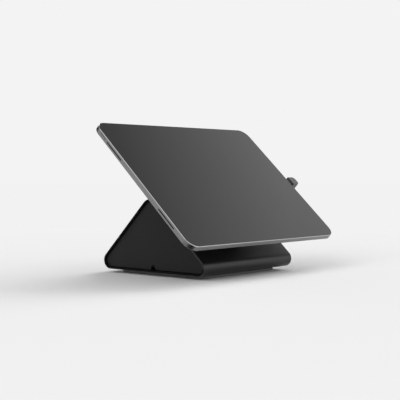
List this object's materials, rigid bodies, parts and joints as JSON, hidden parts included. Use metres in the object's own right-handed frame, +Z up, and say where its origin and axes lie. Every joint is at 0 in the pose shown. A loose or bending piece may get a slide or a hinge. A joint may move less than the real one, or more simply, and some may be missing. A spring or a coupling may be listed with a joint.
{
  "type": "tablet security kiosk stand",
  "caption": "Wedge-shaped steel countertop stand that holds a tablet at a slope on a key-locked slide-on rail mount, with an angle adapter in the tablet's port.",
  "frame": {"origin": "middle of the foot pad's underside, on the table", "axes": "+X to the right along the tablet's long edge, +Y to the back, +Z up"},
  "size_m": [0.2657, 0.1683, 0.1589],
  "materials": {
    "powder_coat": "fine powder coat, satin",
    "panel_plastic": "moulded, fine grain",
    "coated_base": "powder coat, matte",
    "foot_rubber": "matte",
    "zinc_steel": "zinc plated",
    "ballast_iron": "as cast",
    "coated_casting": "die cast, black coat",
    "lock_chrome": "plated",
    "lock_brass": "turned",
    "bond_foam": "closed cell foam",
    "tablet_aluminium": "bead blasted, anodised dark grey",
    "cover_glass": "gloss, black backing",
    "display_film": "gloss",
    "battery_wrap": "film wrapped",
    "board_laminate": "solder mask",
    "black_moulding": "moulded",
    "mesh_steel": "woven, blackened",
    "lens_glass": "coated",
    "contact_steel": "stamped",
    "adapter_plastic": "moulded, satin grey",
    "adapter_collar_plastic": "moulded, dark grey"
  },
  "bodies": {
    "stand": {"wrap_shell": "powder_coat", "left_side_panel": "panel_plastic", "right_side_panel": "panel_plastic", "tie_rods": "zinc_steel", "rib_plates": "zinc_steel", "ballast_block": "ballast_iron", "base_plate": "coated_base", "foot_pad": "foot_rubber", "base_screws": "zinc_steel", "mount_neck": "coated_casting", "backing_plate": "zinc_steel", "neck_screws": "zinc_steel", "lock_body": "lock_chrome", "lock_nut": "zinc_steel", "rail_head": "coated_casting", "rail_screws": "zinc_steel"},
    "lock": {"lock_core": "lock_brass", "lock_cam": "zinc_steel", "cam_screw": "zinc_steel"},
    "tablet": {"tablet_plate": "coated_base", "bond_pad": "bond_foam", "plate_guides": "zinc_steel", "guide_rivets": "zinc_steel", "plate_stop": "coated_base", "stop_bumper": "foot_rubber", "tablet_housing": "tablet_aluminium", "cover_glass": "cover_glass", "display_panel": "display_film", "battery_cells": "battery_wrap", "main_board": "board_laminate", "speaker_modules": "black_moulding", "speaker_meshes": "mesh_steel", "rear_camera_ring": "tablet_aluminium", "rear_camera_lens": "lens_glass", "port_socket": "contact_steel", "button_switches": "black_moulding"},
    "power_button": {"power_button": "tablet_aluminium"},
    "volume_up_button": {"volume_up_button": "tablet_aluminium"},
    "volume_down_button": {"volume_down_button": "tablet_aluminium"},
    "adapter": {"adapter_housing": "adapter_plastic", "adapter_collar": "adapter_collar_plastic", "plug_shell": "contact_steel", "plug_insert": "black_moulding", "adapter_socket": "contact_steel"}
  },
  "joints": [
    {"name": "tablet_slide", "type": "slide", "parent": "stand", "child": "tablet", "axis": [0, -0.7325, -0.6807], "range_m": [-0.05, 0]},
    {"name": "key_turn", "type": "hinge", "parent": "stand", "child": "lock", "pos_m": [0, -0.01649, 0.07803], "axis": [0, -0.7325, -0.6807], "range_deg": [0, 90]},
    {"name": "adapter_pull", "type": "slide", "parent": "tablet", "child": "adapter", "axis": [1, 0, 0], "range_m": [0, 0.008]},
    {"name": "power_press", "type": "slide", "parent": "tablet", "child": "power_button", "axis": [1, 0, 0], "range_m": [0, 0.0003], "stiffness_N_per_m": 1500, "springref_m": -0.0003},
    {"name": "volume_up_press", "type": "slide", "parent": "tablet", "child": "volume_up_button", "axis": [0, -0.7325, -0.6807], "range_m": [0, 0.0003], "stiffness_N_per_m": 1500, "springref_m": -0.0003},
    {"name": "volume_down_press", "type": "slide", "parent": "tablet", "child": "volume_down_button", "axis": [0, -0.7325, -0.6807], "range_m": [0, 0.0003], "stiffness_N_per_m": 1500, "springref_m": -0.0003}
  ]
}
